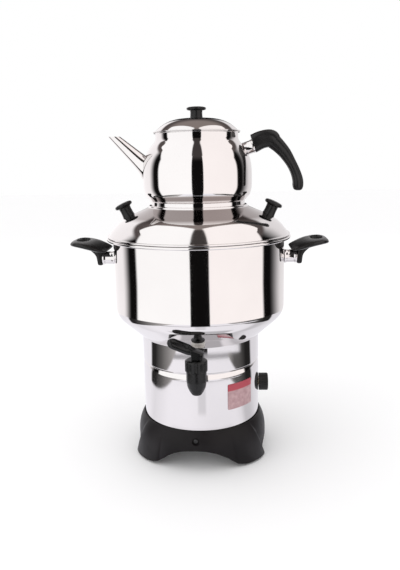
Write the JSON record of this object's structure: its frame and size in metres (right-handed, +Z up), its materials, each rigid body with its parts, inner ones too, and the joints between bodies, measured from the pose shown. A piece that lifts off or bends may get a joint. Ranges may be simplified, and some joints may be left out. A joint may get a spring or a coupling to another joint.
{
  "type": "electric samovar",
  "caption": "Electric samovar: polished steel water tank on a feet-and-casing base with a lever tap, lift-off lid and a teapot kept warm on top",
  "frame": {"origin": "on the floor below the axis of the water tank, which the middle of the whole outline lies within 3 mm of", "axes": "+Z up along the tank's axis; -Y the front, where the tap is; +X to the viewer's right, the side of the thermostat knob and the teapot handle; the teapot spout points to -X"},
  "size_m": [0.3596, 0.2621, 0.4909],
  "materials": {
    "base_plastic": "satin black moulded plastic",
    "rubber": "matte black rubber",
    "zinc": "zinc-plated steel",
    "casing_steel": "mirror-polished stainless steel",
    "tank_steel": "mirror-polished stainless steel",
    "pot_lid_steel": "mirror-polished stainless steel",
    "teapot_steel": "mirror-polished stainless steel",
    "trim_steel": "mirror-polished stainless steel",
    "bakelite": "satin black bakelite",
    "tap_bakelite": "satin black bakelite",
    "label_field": "plain pale red film without print",
    "silicone": "translucent white silicone",
    "brass": "plain machined brass",
    "ceramic": "off-white moulded insulator",
    "element_steel": "drawn stainless tube",
    "lead_sleeve": "brown insulating sleeve"
  },
  "bodies": {
    "stand": {"base_ring": "base_plastic", "bottom_cover": "zinc", "casing_screw_1": "zinc", "casing_screw_2": "zinc", "casing_screw_3": "zinc", "cord_gland": "rubber", "cover_screw_1": "zinc", "cover_screw_2": "zinc", "cover_screw_3": "zinc", "cover_screw_4": "zinc", "element_nut_left": "brass", "element_nut_right": "brass", "element_seal_left": "silicone", "element_seal_right": "silicone", "foot_pad_1": "rubber", "foot_pad_2": "rubber", "foot_pad_3": "rubber", "foot_pad_4": "rubber", "handle_ferrule_left": "trim_steel", "handle_ferrule_right": "trim_steel", "handle_grip_left": "bakelite", "handle_grip_right": "bakelite", "handle_screw_left": "zinc", "handle_screw_right": "zinc", "heating_element": "element_steel", "label_plate": "label_field", "lead_heater": "lead_sleeve", "lead_live": "lead_sleeve", "lead_neutral": "lead_sleeve", "lead_switched": "lead_sleeve", "lower_casing": "casing_steel", "tap_body": "tap_bakelite", "tap_bonnet": "tap_bakelite", "tap_nut": "zinc", "tap_seal_inner": "silicone", "tap_seal_outer": "silicone", "terminal_block": "ceramic", "thermal_cutoff": "ceramic", "thermostat_body": "ceramic", "thermostat_nut": "brass", "water_tank": "tank_steel"},
    "thermostat": {"thermostat_knob": "bakelite", "thermostat_shaft": "brass"},
    "tap_stem": {"tap_stem": "zinc", "tap_seat_cup": "silicone", "tap_pin": "zinc"},
    "tap_lever": {"tap_lever": "tap_bakelite"},
    "pot_lid": {"pot_lid": "pot_lid_steel", "lid_knob_left": "bakelite", "lid_knob_right": "bakelite", "lid_knob_screw_left": "zinc", "lid_knob_screw_right": "zinc"},
    "teapot": {"teapot_body": "teapot_steel", "teapot_spout": "teapot_steel", "teapot_ferrule": "trim_steel", "teapot_handle": "bakelite", "teapot_handle_screw": "zinc"},
    "teapot_lid": {"teapot_lid": "teapot_steel", "teapot_lid_knob": "bakelite", "teapot_lid_knob_screw": "zinc"}
  },
  "joints": [
    {"name": "thermostat_turn", "type": "hinge", "parent": "stand", "child": "thermostat", "pos_m": [0.084, 0, 0.0975], "axis": [1, 0, 0], "range_deg": [0, 270]},
    {"name": "tap_stem_lift", "type": "slide", "parent": "stand", "child": "tap_stem", "axis": [0, 0, 1], "range_m": [0, 0.003], "stiffness_N_per_m": 40, "springref_m": -0.004},
    {"name": "tap_lever_tilt", "type": "hinge", "parent": "tap_stem", "child": "tap_lever", "pos_m": [0, -0.119, 0.1786], "axis": [0, -1, 0], "range_deg": [0, 25]},
    {"name": "pot_lid_lift", "type": "slide", "parent": "stand", "child": "pot_lid", "axis": [0, 0, 1], "range_m": [0, 0.12]},
    {"name": "teapot_lift", "type": "slide", "parent": "pot_lid", "child": "teapot", "axis": [0, 0, 1], "range_m": [0, 0.12]},
    {"name": "teapot_lid_lift", "type": "slide", "parent": "teapot", "child": "teapot_lid", "axis": [0, 0, 1], "range_m": [0, 0.08]}
  ],
  "couplings": [
    {"joint": "tap_lever_tilt", "follows": "tap_stem_lift", "rad_per_m": 145.44}
  ]
}
